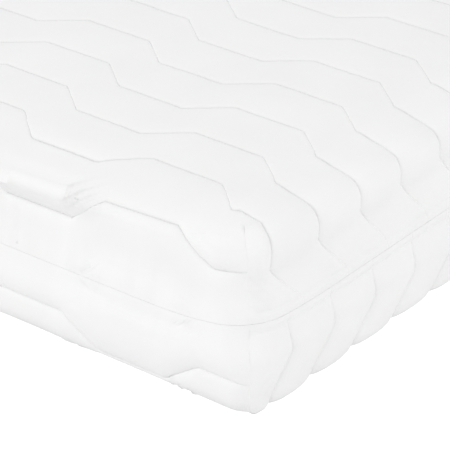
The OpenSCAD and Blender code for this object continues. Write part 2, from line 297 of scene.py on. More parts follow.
def quilt_heights(cover, u, v, puff, seed, hem_zone=34):
    """Height of the quilting over its stitch lines: cells of uneven fullness, a sharp notch where the
    thread pulls, puckers beside it, a pinched seam at each corner, and gathers along the zip."""
    su, sv = cover.depth(u, v)
    s = np.maximum(su, sv)
    side = sv > su
    line = cover.line_at(u, v)
    share = line - np.floor(line)
    nearest = np.round(line)
    cell = 1 + 0.12 * soft_noise(u, LINE_GAP * np.floor(line), 150, LINE_GAP, seed)
    full = at_seam = np.interp(s, *zip(*puff))
    away = np.minimum(share, 1 - share) * LINE_GAP
    # On the long sides the roll hangs over its lower stitch line, the more so towards the middle.
    roll = side * np.exp(-((sv - 70) / 32) ** 2) * cover.up
    slack = roll * np.clip((HALF_L - 190 - np.abs(u)) / 110, 0, 1) * (
        0.85 + 0.3 * soft_noise(u, 0 * u, 210, 1, seed + 9))
    full = full * (1 + 0.9 * slack) * np.where(side | cover.up, 1, 1.5)
    lean = np.where(roll > 0, np.where(v < 0, share, 1 - share) ** (1 - 0.2 * roll), share)
    height = full * np.maximum(4 * lean * (1 - lean), 0) ** (0.55 + 0.12 * (s > 30) + 0.2 * slack) * cell
    faint = np.where(side, np.clip((cover.quiet_past + 10 - sv) / 20, 0, 1), 1)
    filled = 0.5 * on_slant(u, nearest, True) * (s < 40)
    filled += 0.75 * on_slant(u, nearest, False) * side * np.clip((s - 45) / 20, 0, 1)
    near_line = filled * np.exp(-(away / 17) ** 2)
    height = height * (1 - near_line) + 0.7 * full * near_line
    height = height * faint + (1 - faint) * full * 0.8
    notch = np.interp(s, [20, 60], [1.25, 0.5]) * (1 - filled)
    height -= notch * np.exp(-away / 0.8) * faint
    to_hem = cover.drop - s
    quiet = np.clip(to_hem / 25, 0, 1)
    height += (0.35 if cover.up else 0.15) * soft_noise(u, v, 9, 30, seed + 1) * np.exp(-away / 10) * quiet
    height += 0.5 * soft_noise(u, v, 60, 45, seed + 2) * quiet
    along = np.where(su >= sv, v, u)
    gather = soft_noise(along, 0 * along, 10, 1, seed + 3) + 0.5 * soft_noise(along, s, 23, 60, seed + 4)
    past = np.minimum(su, sv) / np.maximum(np.minimum(s, cover.dart), 1e-6)
    seam = (1 - np.clip(past, 0, 1)) * cover.dart
    deep = np.clip((s - cover.dart) / 14, 0, 1)
    if cover.up:
        height += (~side) * (4.5 * np.exp(-((s - 72) / 22) ** 2) - 4.0 * np.exp(-((s - 118) / 17) ** 2))
    gathers = 2.1 * gather * np.exp(-to_hem / hem_zone) * np.clip(to_hem / 5, 0, 1)
    height += gathers * np.clip(seam / 12, 0, 1)
    height += 1.2 * np.exp(-((to_hem - 4) / 2.6) ** 2) - 0.8 * np.exp(-((to_hem - 8.8) / 1.3) ** 2)
    # Both flaps come to the same height at their seam, and dip there.
    meet = deep * np.clip(1 - seam / 26, 0, 1) ** 2 * (3 - 2 * np.clip(1 - seam / 26, 0, 1))
    height = height * (1 - meet) + 0.45 * at_seam * meet
    height -= deep * 0.8 * np.exp(-seam / 2.2) * np.clip(to_hem / 10, 0, 1)
    from_dart = np.hypot(su - cover.dart, sv - cover.dart)
    crinkle = soft_noise(u, v, 8, 8, seed + 5) * np.exp(-(from_dart / 22) ** 2)
    return height + (0.9 if cover.up else 0.3) * crinkle * np.clip(np.minimum(su, sv) / 5, 0, 1) * (1 - meet)


lower = Cover(
    outline=[(30, 1.7), (20, 1.7), (12, 3.2), (6.5, 8), (4.4, 16), (4, 30), (4, 50), (4.6, 64),
             (8, 76), (11, 86), (11, 91.8)],
    cloth_drop=133, dart=26, first_line=35, up=False, quiet_past=88,
    radii=[(0, 0), (26, 20), (60, 23), (95, 26), (120, 40), (133, 45)])
# Places of the points between one stitch line and the next, closest beside the thread.
FINE_ROWS = (0, 0.006, 0.016, 0.04, 0.09, 0.18, 0.32, 0.5, 0.68, 0.82, 0.91, 0.96, 0.984, 0.994)
lower_grid = lower.grid(6, 4.5, FINE_ROWS)
lower_u, lower_v = lower_grid[:2]
lower_puff = [(0, 1.5), (12, 1.7), (30, 4.6), (70, 6.0), (100, 5.0), (133, 0)]
LOWER_SEED, FABRIC = 11, 1.2
lower_height = quilt_heights(lower, lower_u, lower_v, lower_puff, LOWER_SEED)
# The outer fabric carries painted shade in its stitched grooves, at 0.2 of full strength.
lower_fabric = layer_mesh("lower_quilted_fabric", lower, lower_grid, lower_height, lower_height - FABRIC,
                          0.2 * painted_groove_shade(lower, lower_u, lower_v))


def linear(colour):
    """Linear colour of an sRGB hex value."""
    parts = [int(colour[i:i + 2], 16) / 255 for i in (1, 3, 5)]
    return [p / 12.92 if p <= 0.04045 else ((p + 0.055) / 1.055) ** 2.4 for p in parts] + [1]


def add(tree, kind, settings=None, **links):
    """Adds a node, with its settings, its values and what is linked into it."""
    made = tree.nodes.new(kind)
    for key, value in (settings or {}).items():
        setattr(made, key, value)
    for key, value in links.items():
        name = key.replace("_", " ").strip()
        socket = made.inputs[int(name[1:])] if name[1:].isdigit() and name[0] == "n" else made.inputs[name]
        if isinstance(value, bpy.types.NodeSocket):
            tree.links.new(value, socket)
        else:
            socket.default_value = value
    return made


def new_material(name):
    """A material, with its node tree and its shader."""
    made = bpy.data.materials.new(name)
    made.use_nodes = True
    return made, made.node_tree, made.node_tree.nodes["Principled BSDF"]


def finish(skin, colour, normal, **values):
    """Links colour and normal to the shader, and sets the rest on its own sockets."""
    for name, source in (("Base Color", colour), ("Normal", normal)):
        if source:
            skin.id_data.links.new(source, skin.inputs[name])
    for name, value in values.items():
        skin.inputs[name.replace("_", " ")].default_value = value


# Polyester double jersey, circular-knitted and white: matt, with a soft sheen at grazing angles
# and fine ribs of loops. A real loop is 0.7 mm, drawn here 1.6 mm wide so that it shows at all.
knit, tree, skin = new_material("white_polyester_double_jersey_knitted")
where = add(tree, "ShaderNodeTexCoord").outputs["Object"]
ribs = add(tree, "ShaderNodeTexWave", {"bands_direction": "X"}, Vector=where,
           Scale=2 * math.pi / 20 / 0.0016, Distortion=1.2, Detail=1.0, Detail_Scale=2.0)
courses = add(tree, "ShaderNodeTexWave", {"bands_direction": "Y"}, Vector=where,
              Scale=2 * math.pi / 20 / 0.0018, Distortion=1.2, Detail=1.0, Detail_Scale=2.0)
loops = add(tree, "ShaderNodeMath", {"operation": "MULTIPLY"}, n0=ribs.outputs["Fac"],
            n1=courses.outputs["Fac"])
fuzz = add(tree, "ShaderNodeTexNoise", Vector=where, Scale=900.0, Detail=3.0)
both = add(tree, "ShaderNodeMath", {"operation": "ADD"}, n0=loops.outputs[0], n1=fuzz.outputs["Fac"])
bump = add(tree, "ShaderNodeBump", Strength=0.10, Distance=0.0006, Height=both.outputs[0])
patches = add(tree, "ShaderNodeTexNoise", Vector=where, Scale=14.0, Detail=2.0)
tone = add(tree, "ShaderNodeValToRGB", Fac=patches.outputs["Fac"])
tone.color_ramp.elements[0].color = linear("#f3f3f3")
tone.color_ramp.elements[1].color = linear("#f8f8f8")
# Painted shade: the knit is darkened towards #c9cacb in its stitched grooves, as far as the mesh's painted
# shade says.
groove_shade = add(tree, "ShaderNodeAttribute", {"attribute_name": "groove_shade"})
shaded = add(tree, "ShaderNodeMix", {"data_type": "RGBA"}, n0=groove_shade.outputs["Fac"],
             n6=tone.outputs["Color"], n7=linear("#c9cacb"))
finish(skin, shaded.outputs[2], bump.outputs["Normal"], Roughness=0.9, Specular_IOR_Level=0.25,
       Sheen_Weight=0.12, Sheen_Roughness=0.5)
lower_fabric.data.materials.append(knit)
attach(lower_fabric, "lower_cover")
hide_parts("lower_cover_fabric")

# ---------------------------------------------------------------------------------------------
# Lower cover, wadding: hollow-fibre polyester fleece, laid between the two cloths before they
# are quilted. The stitch lines press it to almost nothing, and it swells between them.
ROUGH_ROWS = (0, 0.03, 0.12, 0.3, 0.5, 0.7, 0.88, 0.97)
UNDER, LEAST = 1.6, 0.4  # how far the wadding lies under the fabric's top, and its least thickness


def inner_depth(cover, u, v, full):
    """How far the wadding reaches inwards from the outline."""
    s = np.maximum(*cover.depth(u, v))
    line = cover.line_at(u, v)
    share = line - np.floor(line)
    depth = 1.9 + np.interp(s, *zip(*full)) * (4 * share * (1 - share)) ** 0.55
    close = np.clip((cover.drop - s) / 30, 0, 1)
    return 2.7 + (depth - 2.7) * close


lower_full = [(0, 5.6), (30, 5.0), (70, 5.0), (133, 3)]
lower_rough = lower.grid(14, 8, ROUGH_ROWS)
rough_u, rough_v = lower_rough[:2]
rough_top = quilt_heights(lower, rough_u, rough_v, lower_puff, LOWER_SEED) - UNDER
rough_in = np.minimum(-inner_depth(lower, rough_u, rough_v, lower_full), rough_top - LEAST)
lower_wadding = layer_mesh("lower_wadding", lower, lower_rough, rough_top, rough_in)

# Carded polyester fleece, bonded by heat: fluffy, loose and fully matt, with long fine fibres.
fleece, tree, skin = new_material("white_polyester_fleece_carded")
where = add(tree, "ShaderNodeTexCoord").outputs["Object"]
drawn = add(tree, "ShaderNodeMapping", Vector=where, Scale=(1.0, 3.0, 3.0))
fibres = add(tree, "ShaderNodeTexNoise", Vector=drawn.outputs["Vector"], Scale=260.0, Detail=6.0,
             Roughness=0.7)
bump = add(tree, "ShaderNodeBump", Strength=0.6, Distance=0.0015, Height=fibres.outputs["Fac"])
tone = add(tree, "ShaderNodeValToRGB", Fac=fibres.outputs["Fac"])
tone.color_ramp.elements[0].color = linear("#dcdfe2")
tone.color_ramp.elements[1].color = linear("#f6f6f4")
finish(skin, tone.outputs["Color"], bump.outputs["Normal"], Roughness=1.0, Specular_IOR_Level=0.1,
       Sheen_Weight=0.3)
lower_wadding.data.materials.append(fleece)
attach(lower_wadding, "lower_cover")
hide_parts("lower_cover_wadding")

# ---------------------------------------------------------------------------------------------
# Lower cover, lining: thin white spunbond that backs the wadding. It is sewn through with the
# fabric, so it dips at the same stitch lines.
CLEAR, LINING = 0.05, 0.7
lower_lining = layer_mesh("lower_lining", lower, lower_rough, rough_in - CLEAR, rough_in - CLEAR - LINING)

# Spunbond polypropylene, hot-embossed with rows of small points: thin, papery and slightly glossy.
# The points are 1.2 mm apart in the real cloth, and 3 mm here so that they show.
spunbond, tree, skin = new_material("white_polypropylene_spunbond_embossed")
where = add(tree, "ShaderNodeTexCoord").outputs["Object"]
points = add(tree, "ShaderNodeTexVoronoi", Vector=where, Scale=1 / 0.003, Randomness=0.15)
strands = add(tree, "ShaderNodeTexNoise", Vector=where, Scale=500.0, Detail=4.0)
both = add(tree, "ShaderNodeMath", {"operation": "ADD"}, n0=points.outputs["Distance"],
           n1=strands.outputs["Fac"])
bump = add(tree, "ShaderNodeBump", Strength=0.35, Distance=0.0004, Height=both.outputs[0])
tone = add(tree, "ShaderNodeValToRGB", Fac=strands.outputs["Fac"])
tone.color_ramp.elements[0].color = linear("#e6e8ea")
tone.color_ramp.elements[1].color = linear("#f5f6f6")
finish(skin, tone.outputs["Color"], bump.outputs["Normal"], Roughness=0.62)
lower_lining.data.materials.append(spunbond)
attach(lower_lining, "lower_cover")
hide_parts("lower_cover_lining")

# ---------------------------------------------------------------------------------------------
# Upper cover, outer fabric: the same quilted panel turned down over the foam, as a lid. Its edge
# is drawn in to the zip, so the sides lean in and the last channel puffs out as a soft roll.
upper = Cover(
    outline=[(90, 198), (78, 197), (62, 193), (47, 188), (33, 180), (26.5, 170), (24, 158), (22.5, 147),
             (20.5, 135), (16.5, 118), (11.6, 108), (11, 102.2)],
    cloth_drop=157, dart=48, first_line=66, up=True, hang=6.0, quiet_past=122,
    radii=[(0, 0), (20, 16), (48, 30), (80, 40), (110, 45), (157, 45)])
upper_grid = upper.grid(5, 4.5, FINE_ROWS)
upper_u, upper_v = upper_grid[:2]
upper_puff = [(0, 2.0), (30, 2.8), (62, 6.5), (95, 7.5), (120, 4.5), (140, 2.0), (157, 0)]
UPPER_SEED = 23
upper_height = quilt_heights(upper, upper_u, upper_v, upper_puff, UPPER_SEED)
# The outer fabric carries painted shade in its stitched grooves, at 0.6 of full strength.
upper_fabric = layer_mesh("upper_quilted_fabric", upper, upper_grid, upper_height, upper_height - FABRIC,
                          0.6 * painted_groove_shade(upper, upper_u, upper_v))
upper_fabric.data.materials.append(knit)
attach(upper_fabric, "upper_cover")
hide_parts("upper_cover_fabric")

# ---------------------------------------------------------------------------------------------
# Upper cover, wadding and lining: laid and sewn as in the lower cover.
upper_full = [(0, 6.0), (30, 4.5), (60, 2.2), (157, 2)]
upper_rough = upper.grid(14, 8, ROUGH_ROWS)
rough_u, rough_v = upper_rough[:2]
rough_top = quilt_heights(upper, rough_u, rough_v, upper_puff, UPPER_SEED) - UNDER
rough_in = np.minimum(-inner_depth(upper, rough_u, rough_v, upper_full), rough_top - LEAST)
upper_wadding = layer_mesh("upper_wadding", upper, upper_rough, rough_top, rough_in)
upper_wadding.data.materials.append(fleece)
upper_lining = layer_mesh("upper_lining", upper, upper_rough, rough_in - CLEAR, rough_in - CLEAR - LINING)
upper_lining.data.materials.append(spunbond)
for piece, node, slot in ((upper_wadding, "upper_cover_wadding", "wadding"),
                          (upper_lining, "upper_cover_lining", "lining")):
    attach(piece, "upper_cover")
    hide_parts(node)

# ---------------------------------------------------------------------------------------------
# Quilting thread: spun polyester lockstitch, 4.6 mm long, laid over the fabric in each groove.
# Each stitch is a slim spindle between two needle holes.
STITCH, THREAD = 4.6, 0.34


def stitches(name, paths, thread):
    """Spindles along each path, one for each stitch."""
    points, faces = [], []
    for place, away in paths:
        ends = place + away * 0.25
        for a, b, up in zip(ends[:-1], ends[1:], away[:-1]):
            run = b - a
            size = np.linalg.norm(run)
            if not 2 < size < 12 or 1 < a[2] < 5:
                continue
            side = np.cross(run / size, up)
            mid, first = (a + b) / 2, len(points)
            points += [a + run * 0.06, b - run * 0.06, mid + up * thread, mid + side * thread - up * 0.1,
                       mid - side * thread - up * 0.1]
            faces += [[first + i for i in f] for f in
                      ((0, 2, 3), (0, 4, 2), (0, 3, 4), (1, 3, 2), (1, 2, 4), (1, 4, 3))]
    return new_piece(name, np.array(points), faces)


def quilting_paths(cover, puff, seed, margin):
    """Every stitch line of a cover, on top of its fabric, cut where the dart is."""
    found = []
    reach = cover.flat_u + cover.drop - margin
    for line in range(-4, 18):
        u = np.arange(-reach, reach, STITCH)
        v = cover.line_v(u, line)
        su, sv = cover.depth(u, v)
        inside = (np.minimum(su, sv) < cover.dart - 2) & (sv < min(cover.drop - margin, cover.quiet_past - 6))
        height = quilt_heights(cover, u, v, puff, seed)
        place, away = cover.place(u, v)
        place = place + away * height[:, None]
        for part in np.split(np.arange(len(u)), np.flatnonzero(np.diff(inside.astype(int))) + 1):
            if len(part) > 3 and inside[part[0]]:
                found.append((place[part], away[part]))
    return found


# Polyester thread, spun and dyed to match: matt white, drawn a touch greyer than the cloth as painted
# shade along the stitch lines, so that the lines read as fine seams.
thread, tree, skin = new_material("white_polyester_thread_spun")
where = add(tree, "ShaderNodeTexCoord").outputs["Object"]
twist = add(tree, "ShaderNodeTexNoise", Vector=where, Scale=1500.0, Detail=2.0)
bump = add(tree, "ShaderNodeBump", Strength=0.3, Distance=0.0002, Height=twist.outputs["Fac"])
tone = add(tree, "ShaderNodeValToRGB", Fac=twist.outputs["Fac"])
tone.color_ramp.elements[0].color = linear("#e2e3e4")
tone.color_ramp.elements[1].color = linear("#ededee")
finish(skin, tone.outputs["Color"], bump.outputs["Normal"], Roughness=0.7)
for cover, puff, seed, body, name, margin in (
        (lower, lower_puff, LOWER_SEED, "lower_cover", "lower_quilting_thread", 20),
        (upper, upper_puff, UPPER_SEED, "upper_cover", "upper_quilting_thread", 34)):
    piece = stitches(name, quilting_paths(cover, puff, seed, margin), THREAD)
    piece.data.materials.append(thread)
    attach(piece, body)

# ---------------------------------------------------------------------------------------------
# Corner seams: the two flaps are sewn right sides together, so each corner shows one fine dip,
# and the seam allowance stands inside it.
def face_outwards(piece):
    """Turns every face of a closed mesh outwards."""
    pick(piece)
    bpy.ops.object.mode_set(mode="EDIT")
    bpy.ops.mesh.select_all(action="SELECT")
    bpy.ops.mesh.normals_make_consistent(inside=False)
    bpy.ops.object.mode_set(mode="OBJECT")


RINGS = 14  # along each seam
for cover, body, name, node, low in (
        (lower, "lower_cover", "lower_corner_seam_allowances", "lower_corner_seams", 24),
        (upper, "upper_cover", "upper_corner_seam_allowances", "upper_corner_seams", 84)):
    points, faces = [], []
    for sign_u in (-1, 1):
        for sign_v in (-1, 1):
            s = np.linspace(low + cover.dart * 0.4, cover.drop - 26, RINGS)
            u, v = sign_u * (cover.flat_u + s), sign_v * (cover.flat_v + cover.dart) * np.ones(RINGS)
            place, away = cover.place(u, v)
            side = np.stack([-away[:, 1], away[:, 0], 0 * s], -1)
            side /= np.linalg.norm(side, axis=1)[:, None]
            first = len(points)
            inside = 8.2 if cover.up else 10.4
            for i in range(RINGS):
                outer = inside + 3.0 + 0.5 * math.sin(2.1 * i + sign_u + 3 * sign_v)
                for reach, wide in ((inside, 0.8), (outer, 0.9), (outer, -0.9), (inside, -0.8)):
                    points.append(place[i] - away[i] * reach + side[i] * wide)
            for i in range(RINGS - 1):
                for j in range(4):
                    a, b = first + 4 * i + j, first + 4 * i + (j + 1) % 4
                    faces.append([a, b, b + 4, a + 4])
            last = first + 4 * (RINGS - 1)
            faces += [[first + j for j in (3, 2, 1, 0)], [last + j for j in (0, 1, 2, 3)]]
    piece = new_piece(name, np.array(points), faces)
    face_outwards(piece)
    piece.data.materials.append(knit)
    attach(piece, body)
    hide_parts(node)


# ---------------------------------------------------------------------------------------------
# Foam core, shared: four kinds of polyurethane foam slab, each cast in a block, sawn to size and
# slit with a contour saw. Their cut edges are soft and slightly rounded.
def slab(name, size_x, size_y, low, high, soft, cuts_x=(), cuts_y=(), cut=4, depth=30, from_below=False):
    """A foam slab over the size given, its edges rounded by soft, with slits of one width and depth."""
    def marks(ends, cuts):
        rows = [ends[0], ends[0] + soft * 0.08, ends[0] + soft * 0.3, ends[0] + soft * 0.6, ends[0] + soft]
        for c in cuts:
            half = cut / 2
            rows += [c - half - 5, c - half - 2.2, c - half - 0.8, c - half, c - half + 0.05]
            rows += [c + half - 0.05, c + half, c + half + 0.8, c + half + 2.2, c + half + 5]
        rows += [ends[1] - soft, ends[1] - soft * 0.6, ends[1] - soft * 0.3, ends[1] - soft * 0.08, ends[1]]
        rows = np.array(sorted(rows))
        long = np.flatnonzero(np.diff(rows) > 30)
        extra = [np.linspace(rows[i], rows[i + 1], int((rows[i + 1] - rows[i]) // 24) + 2)[1:-1]
                 for i in long]
        rows = np.sort(np.concatenate([rows, *extra]))
        inward = np.minimum(rows - ends[0], ends[1] - rows)
        down = soft - np.sqrt(np.maximum(soft ** 2 - np.maximum(soft - inward, 0) ** 2, 0))
        if len(cuts):
            gap = np.abs(rows[:, None] - np.array(cuts)[None, :]).min(1) - cut / 2
            down = np.maximum(down, np.where(gap < -0.02, depth, 2.2 * np.clip(1 - gap / 3.2, 0, 1) ** 2))
        return rows, down
    xs, down_x = marks(size_x, cuts_x)
    ys, down_y = marks(size_y, cuts_y)
    down = np.maximum(down_x[:, None], down_y[None, :])
    down = np.where((down_x[:, None] < soft) & (down_y[None, :] < soft),
                    np.minimum(np.hypot(down_x[:, None], down_y[None, :]), high - low - 1), down)
    gx, gy = np.meshgrid(xs, ys, indexing="ij")
    cx, cy = HALF_L - CORNER, HALF_W - CORNER
    ax, ay = np.maximum(np.abs(gx) - cx, 0), np.maximum(np.abs(gy) - cy, 0)
    scale = np.where((ax > 0) & (ay > 0), np.maximum(ax, ay) / np.maximum(np.hypot(ax, ay), 1e-6), 1)
    turned = (np.abs(gx) > cx) & (np.abs(gy) > cy)
    gx, gy = (np.where(turned, np.sign(gx) * (cx + ax * scale), gx),
              np.where(turned, np.sign(gy) * (cy + ay * scale), gy))
    gx = gx + 0.25 * soft_noise(gx, gy, 70, 70, 5) * (np.abs(gx - np.mean(size_x)) < np.ptp(size_x) / 2 - 1)
    wrinkle = 0.25 * soft_noise(gx, gy, 55, 55, 6) - 0.25
    cut_face = np.stack([gx, gy, (high - down + wrinkle) if not from_below else (low + down - wrinkle)], -1)
    plain = np.stack([gx, gy, np.full_like(gx, low if not from_below else high)], -1)
    nx, ny = gx.shape
    number = np.arange(nx * ny).reshape(nx, ny)
    quads = np.stack([number[:-1, :-1], number[1:, :-1], number[1:, 1:], number[:-1, 1:]], -1).reshape(-1, 4)
    rim = np.concatenate([number[:-1, 0], number[-1, :-1], number[:0:-1, -1], number[0, :0:-1]])
    lid = number.size + np.arange(len(rim))
    points = np.concatenate([cut_face.reshape(-1, 3), plain.reshape(-1, 3)[rim]])
    faces = quads.tolist()
    faces += [[a, d, c, b] for a, b, c, d in zip(rim, np.roll(rim, -1), np.roll(lid, -1), lid)]
    faces.append(lid[::-1].tolist())
    if from_below:
        faces = [f[::-1] for f in faces]
    piece = new_piece(name, points, faces)
    smooth(piece, 40)
    return piece


def foam(name, light, painted_pore_shade, cell):
    """Open-cell polyurethane foam, cast and sawn: matt, with a skinless face of open pores, which are painted
    darker as painted shade in the cells.
    """
    made, tree, skin = new_material(name)
    where = add(tree, "ShaderNodeTexCoord").outputs["Object"]
    pores = add(tree, "ShaderNodeTexVoronoi", Vector=where, Scale=1 / cell)
    fine = add(tree, "ShaderNodeTexNoise", Vector=where, Scale=2.5 / cell, Detail=3.0)
    both = add(tree, "ShaderNodeMath", {"operation": "MULTIPLY"}, n0=pores.outputs["Distance"],
               n1=fine.outputs["Fac"])
    bump = add(tree, "ShaderNodeBump", Strength=0.5, Distance=cell * 0.5, Height=both.outputs[0])
    # Painted shade: the pores darken towards the darker colour given, as shade in the open cells.
    tone = add(tree, "ShaderNodeValToRGB", Fac=both.outputs[0])
    tone.color_ramp.elements[0].color, tone.color_ramp.elements[1].color = linear(painted_pore_shade), linear(light)
    tone.color_ramp.elements[1].position = 0.45
    finish(skin, tone.outputs["Color"], bump.outputs["Normal"], Roughness=0.95, Specular_IOR_Level=0.15,
           Sheen_Weight=0.1)
    return made


def span(node):
    """Lowest and highest place of a CAD node along X, Y and Z, in millimetres."""
    low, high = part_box(node)
    return [(1000 * low[i], 1000 * high[i]) for i in range(3)]


# Base core: firm high-resilience foam, slit across from below so that it bends on the bed frame.
(x0, x1), (y0, y1), (z0, z1) = span("base_core")
base_cuts = [130 * (i - 6) for i in range(13)]
base_core = slab("base_core_foam", (x0 + 0.5, x1 - 0.5), (y0 + 0.5, y1 - 0.5), z0 + 0.3, z1 - 0.2,
                 soft=5, cuts_x=base_cuts, depth=25, from_below=True)
base_core.data.materials.append(foam("grey_high_resilience_foam_sawn", "#c9ccd0", "#8f949b", 0.0016))

# Comfort layer: softer high-resilience foam, slit across from the top.
(x0, x1), (y0, y1), (z0, z1) = span("comfort_layer")
comfort_cuts = [84 * (i - 10) for i in range(21)]
comfort = slab("comfort_layer_foam", (x0 + 0.3, x1 - 0.3), (y0 + 0.4, y1 - 0.4), z0 + 0.2, z1 - 0.4,
               soft=4, cuts_x=comfort_cuts)
comfort.data.materials.append(foam("blue_high_resilience_foam_sawn", "#bcd2e4", "#7f9db6", 0.0015))

# Side bolsters: the firmest foam, glued along both edges so that nobody rolls off.
bolster_foam = foam("white_firm_edge_foam_sawn", "#e3e3de", "#aaaaa4", 0.0013)
bolsters = []
for node in ("left_bolster", "right_bolster"):
    (x0, x1), (y0, y1), (z0, z1) = span(node)
    bolster = slab(node + "_foam", (x0 + 0.3, x1 - 0.3), (y0 + 0.4, y1 - 0.4), z0 + 0.2, z1 - 0.4, soft=4)
    bolster.data.materials.append(bolster_foam)
    bolsters.append(bolster)

# Pressure-relieving top: viscoelastic foam cut into cubes, so that each presses down on its own.
(x0, x1), (y0, y1), (z0, z1) = span("visco_cube_layer")
CUBE = 96
visco = slab("visco_cube_layer_foam", (x0 + 3.5, x1 - 3.5), (y0 + 3.5, y1 - 3.5), z0 + 0.2, z1 - 0.4,
             soft=48, cuts_x=[CUBE * (i - 9.5) for i in range(20)],
             cuts_y=[CUBE * (i - 3.5) for i in range(8)], cut=3, depth=34)
visco.data.materials.append(foam("cream_viscoelastic_foam_sawn", "#f2ead2", "#cbbf9c", 0.0009))
for piece, node, slot in ((base_core, "base_core", "base_foam"), (comfort, "comfort_layer", "comfort_foam"),
                          (bolsters[0], "left_bolster", "bolster_foam"),
                          (bolsters[1], "right_bolster", "bolster_foam"),
                          (visco, "visco_cube_layer", "visco_foam")):
    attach(piece, "core")
    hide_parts(node)

# ---------------------------------------------------------------------------------------------
# Zip tapes and hem bindings: woven polyester tape that carries the coil, sewn behind each hem,
# and a narrower binding that covers the raw edges. Both run all the way round.
def round_path(inset, step):
    """Points round the four sides at one inset, their outward directions and the way along."""
    radius = CORNER - inset
    centre_x, centre_y = HALF_L - CORNER, HALF_W - CORNER
    sides = [2 * centre_y, math.pi / 2 * radius, 2 * centre_x, math.pi / 2 * radius] * 2
    starts = np.r_[0, np.cumsum(sides)]
    count = int(round(starts[-1] / step))
    at = np.arange(count) * starts[-1] / count
    side = np.searchsorted(starts, at, "right") - 1
    run = at - starts[side]
    place, away = np.zeros((count, 3)), np.zeros((count, 3))
    corners = [(1, 1), (-1, 1), (-1, -1), (1, -1)]
    for i in range(8):
        here = side == i
        turn = i // 2
        if i % 2 == 0:
            angle = turn * math.pi / 2
            n = np.array([math.cos(angle), math.sin(angle), 0])
            t = np.array([-n[1], n[0], 0])
            half = centre_y if turn % 2 == 0 else centre_x
            reach = (centre_x if turn % 2 == 0 else centre_y) + radius
            place[here] = n * reach + t * (run[here] - half)[:, None]
            away[here] = n
        else:
            angle = turn * math.pi / 2 + run[here] / radius
            n = np.stack([np.cos(angle), np.sin(angle), 0 * angle], -1)
            cx, cy = corners[turn]
            place[here] = np.array([cx * centre_x, cy * centre_y, 0]) + n * radius
            away[here] = n
    ahead = np.stack([-away[:, 1], away[:, 0], 0 * at], -1)
    return place, away, ahead


PARTING = (-940, -918)  # where the zip's two ends meet, on the far long side near the head end


def zip_parting(place):
    """Which points of a path round the sides lie where the zip's two ends meet."""
    return (place[:, 1] > HALF_W - 40) & (place[:, 0] > PARTING[0]) & (place[:, 0] < PARTING[1])


def band(name, section, step, parted=False):
    """A strip swept round the sides. Its section is points (inset, height) going round anticlockwise
    as seen looking along the strip. A parted one is left out where the zip's ends meet."""
    place, away, _ = round_path(0, step)
    centre = np.stack([np.clip(place[:, 0], -HALF_L + CORNER, HALF_L - CORNER),
                       np.clip(place[:, 1], -HALF_W + CORNER, HALF_W - CORNER), 0 * place[:, 0]], -1)
    rings = []
    for inset, height in section:
        ring = centre + away * (CORNER - inset)
        ring[:, 2] = height + zip_rise(place[:, 0], place[:, 1])
        rings.append(ring)
    count, sides = len(place), len(section)
    points = np.stack(rings, 1).reshape(-1, 3)
    out = parted & zip_parting(place)
    faces = []
    for i in range(count):
        j = (i + 1) % count
        if out[i] or out[j]:
            if out[i] != out[j]:
                end = [(j if out[i] else i) * sides + k for k in range(sides)]
                faces.append(end if out[i] else end[::-1])
            continue
        for k in range(sides):
            m = (k + 1) % sides
            faces.append([i * sides + k, j * sides + k, j * sides + m, i * sides + m])
    return new_piece(name, points, faces)


# Polyester tape, shuttle-woven in a herringbone: white, flat and matt, with slanted ribs. A rib
# is 0.8 mm in the real tape, drawn 2 mm wide so that it shows.
tape, tree, skin = new_material("white_polyester_tape_woven")
where = add(tree, "ShaderNodeTexCoord").outputs["Object"]
ribs = add(tree, "ShaderNodeTexWave", {"bands_direction": "DIAGONAL"}, Vector=where,
           Scale=2 * math.pi / 20 / 0.002, Distortion=2.0, Detail=2.0, Detail_Scale=3.0)
yarns = add(tree, "ShaderNodeTexNoise", Vector=where, Scale=800.0, Detail=3.0)
both = add(tree, "ShaderNodeMath", {"operation": "ADD"}, n0=ribs.outputs["Fac"], n1=yarns.outputs["Fac"])
bump = add(tree, "ShaderNodeBump", Strength=0.4, Distance=0.0003, Height=both.outputs[0])
tone = add(tree, "ShaderNodeValToRGB", Fac=both.outputs[0])
tone.color_ramp.elements[0].color = linear("#e4e4e4")
tone.color_ramp.elements[1].color = linear("#f2f2f2")
finish(skin, tone.outputs["Color"], bump.outputs["Normal"], Roughness=0.8)


def strip_section(inset, thick, low, high):
    """Section of a flat strip, its edges eased and its face slightly bowed."""
    mid = (low + high) / 2
    return [(inset, low + 0.3), (inset - 0.05, mid), (inset, high - 0.3), (inset + thick * 0.4, high),
            (inset + thick, high - 0.3), (inset + thick, low + 0.3), (inset + thick * 0.4, low)]


TAPE_SIZE, BINDING_SIZE = (15.45, 0.5), (14.6, 0.75)  # inset and thickness
for node, body, slot, (inset, thick), low, high in (
        ("lower_zip_tape", "lower_cover", "zip_tape", TAPE_SIZE, 82.0, 96.4),
        ("upper_zip_tape", "upper_cover", "zip_tape", TAPE_SIZE, 97.6, 106.0),
        ("lower_hem_binding", "lower_cover", "hem_binding", BINDING_SIZE, 82.0, 91.7),
        ("upper_hem_binding", "upper_cover", "hem_binding", BINDING_SIZE, 102.3, 105.5)):
    piece = band(node + "_woven", strip_section(inset, thick, low, high), 7)
    face_outwards(piece)
    smooth(piece, 50)
    piece.data.materials.append(tape)
    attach(piece, body)
    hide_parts(node)

# ---------------------------------------------------------------------------------------------
# Zip coils: nylon monofilament wound into a spiral, pressed so that each turn has a head that
# locks with the other side's, and sewn to the edge of its tape. One turn every 2 mm.
TURN, COIL_INSET = 2.0, 14.0
# The bar of one turn, as inset, height and half width.
TOOTH = [(12.6, -1.6, 0.72), (12.1, 0.6, 0.74), (12.4, 2.3, 0.5), (15.2, 2.2, 0.5), (15.35, -1.3, 0.6)]


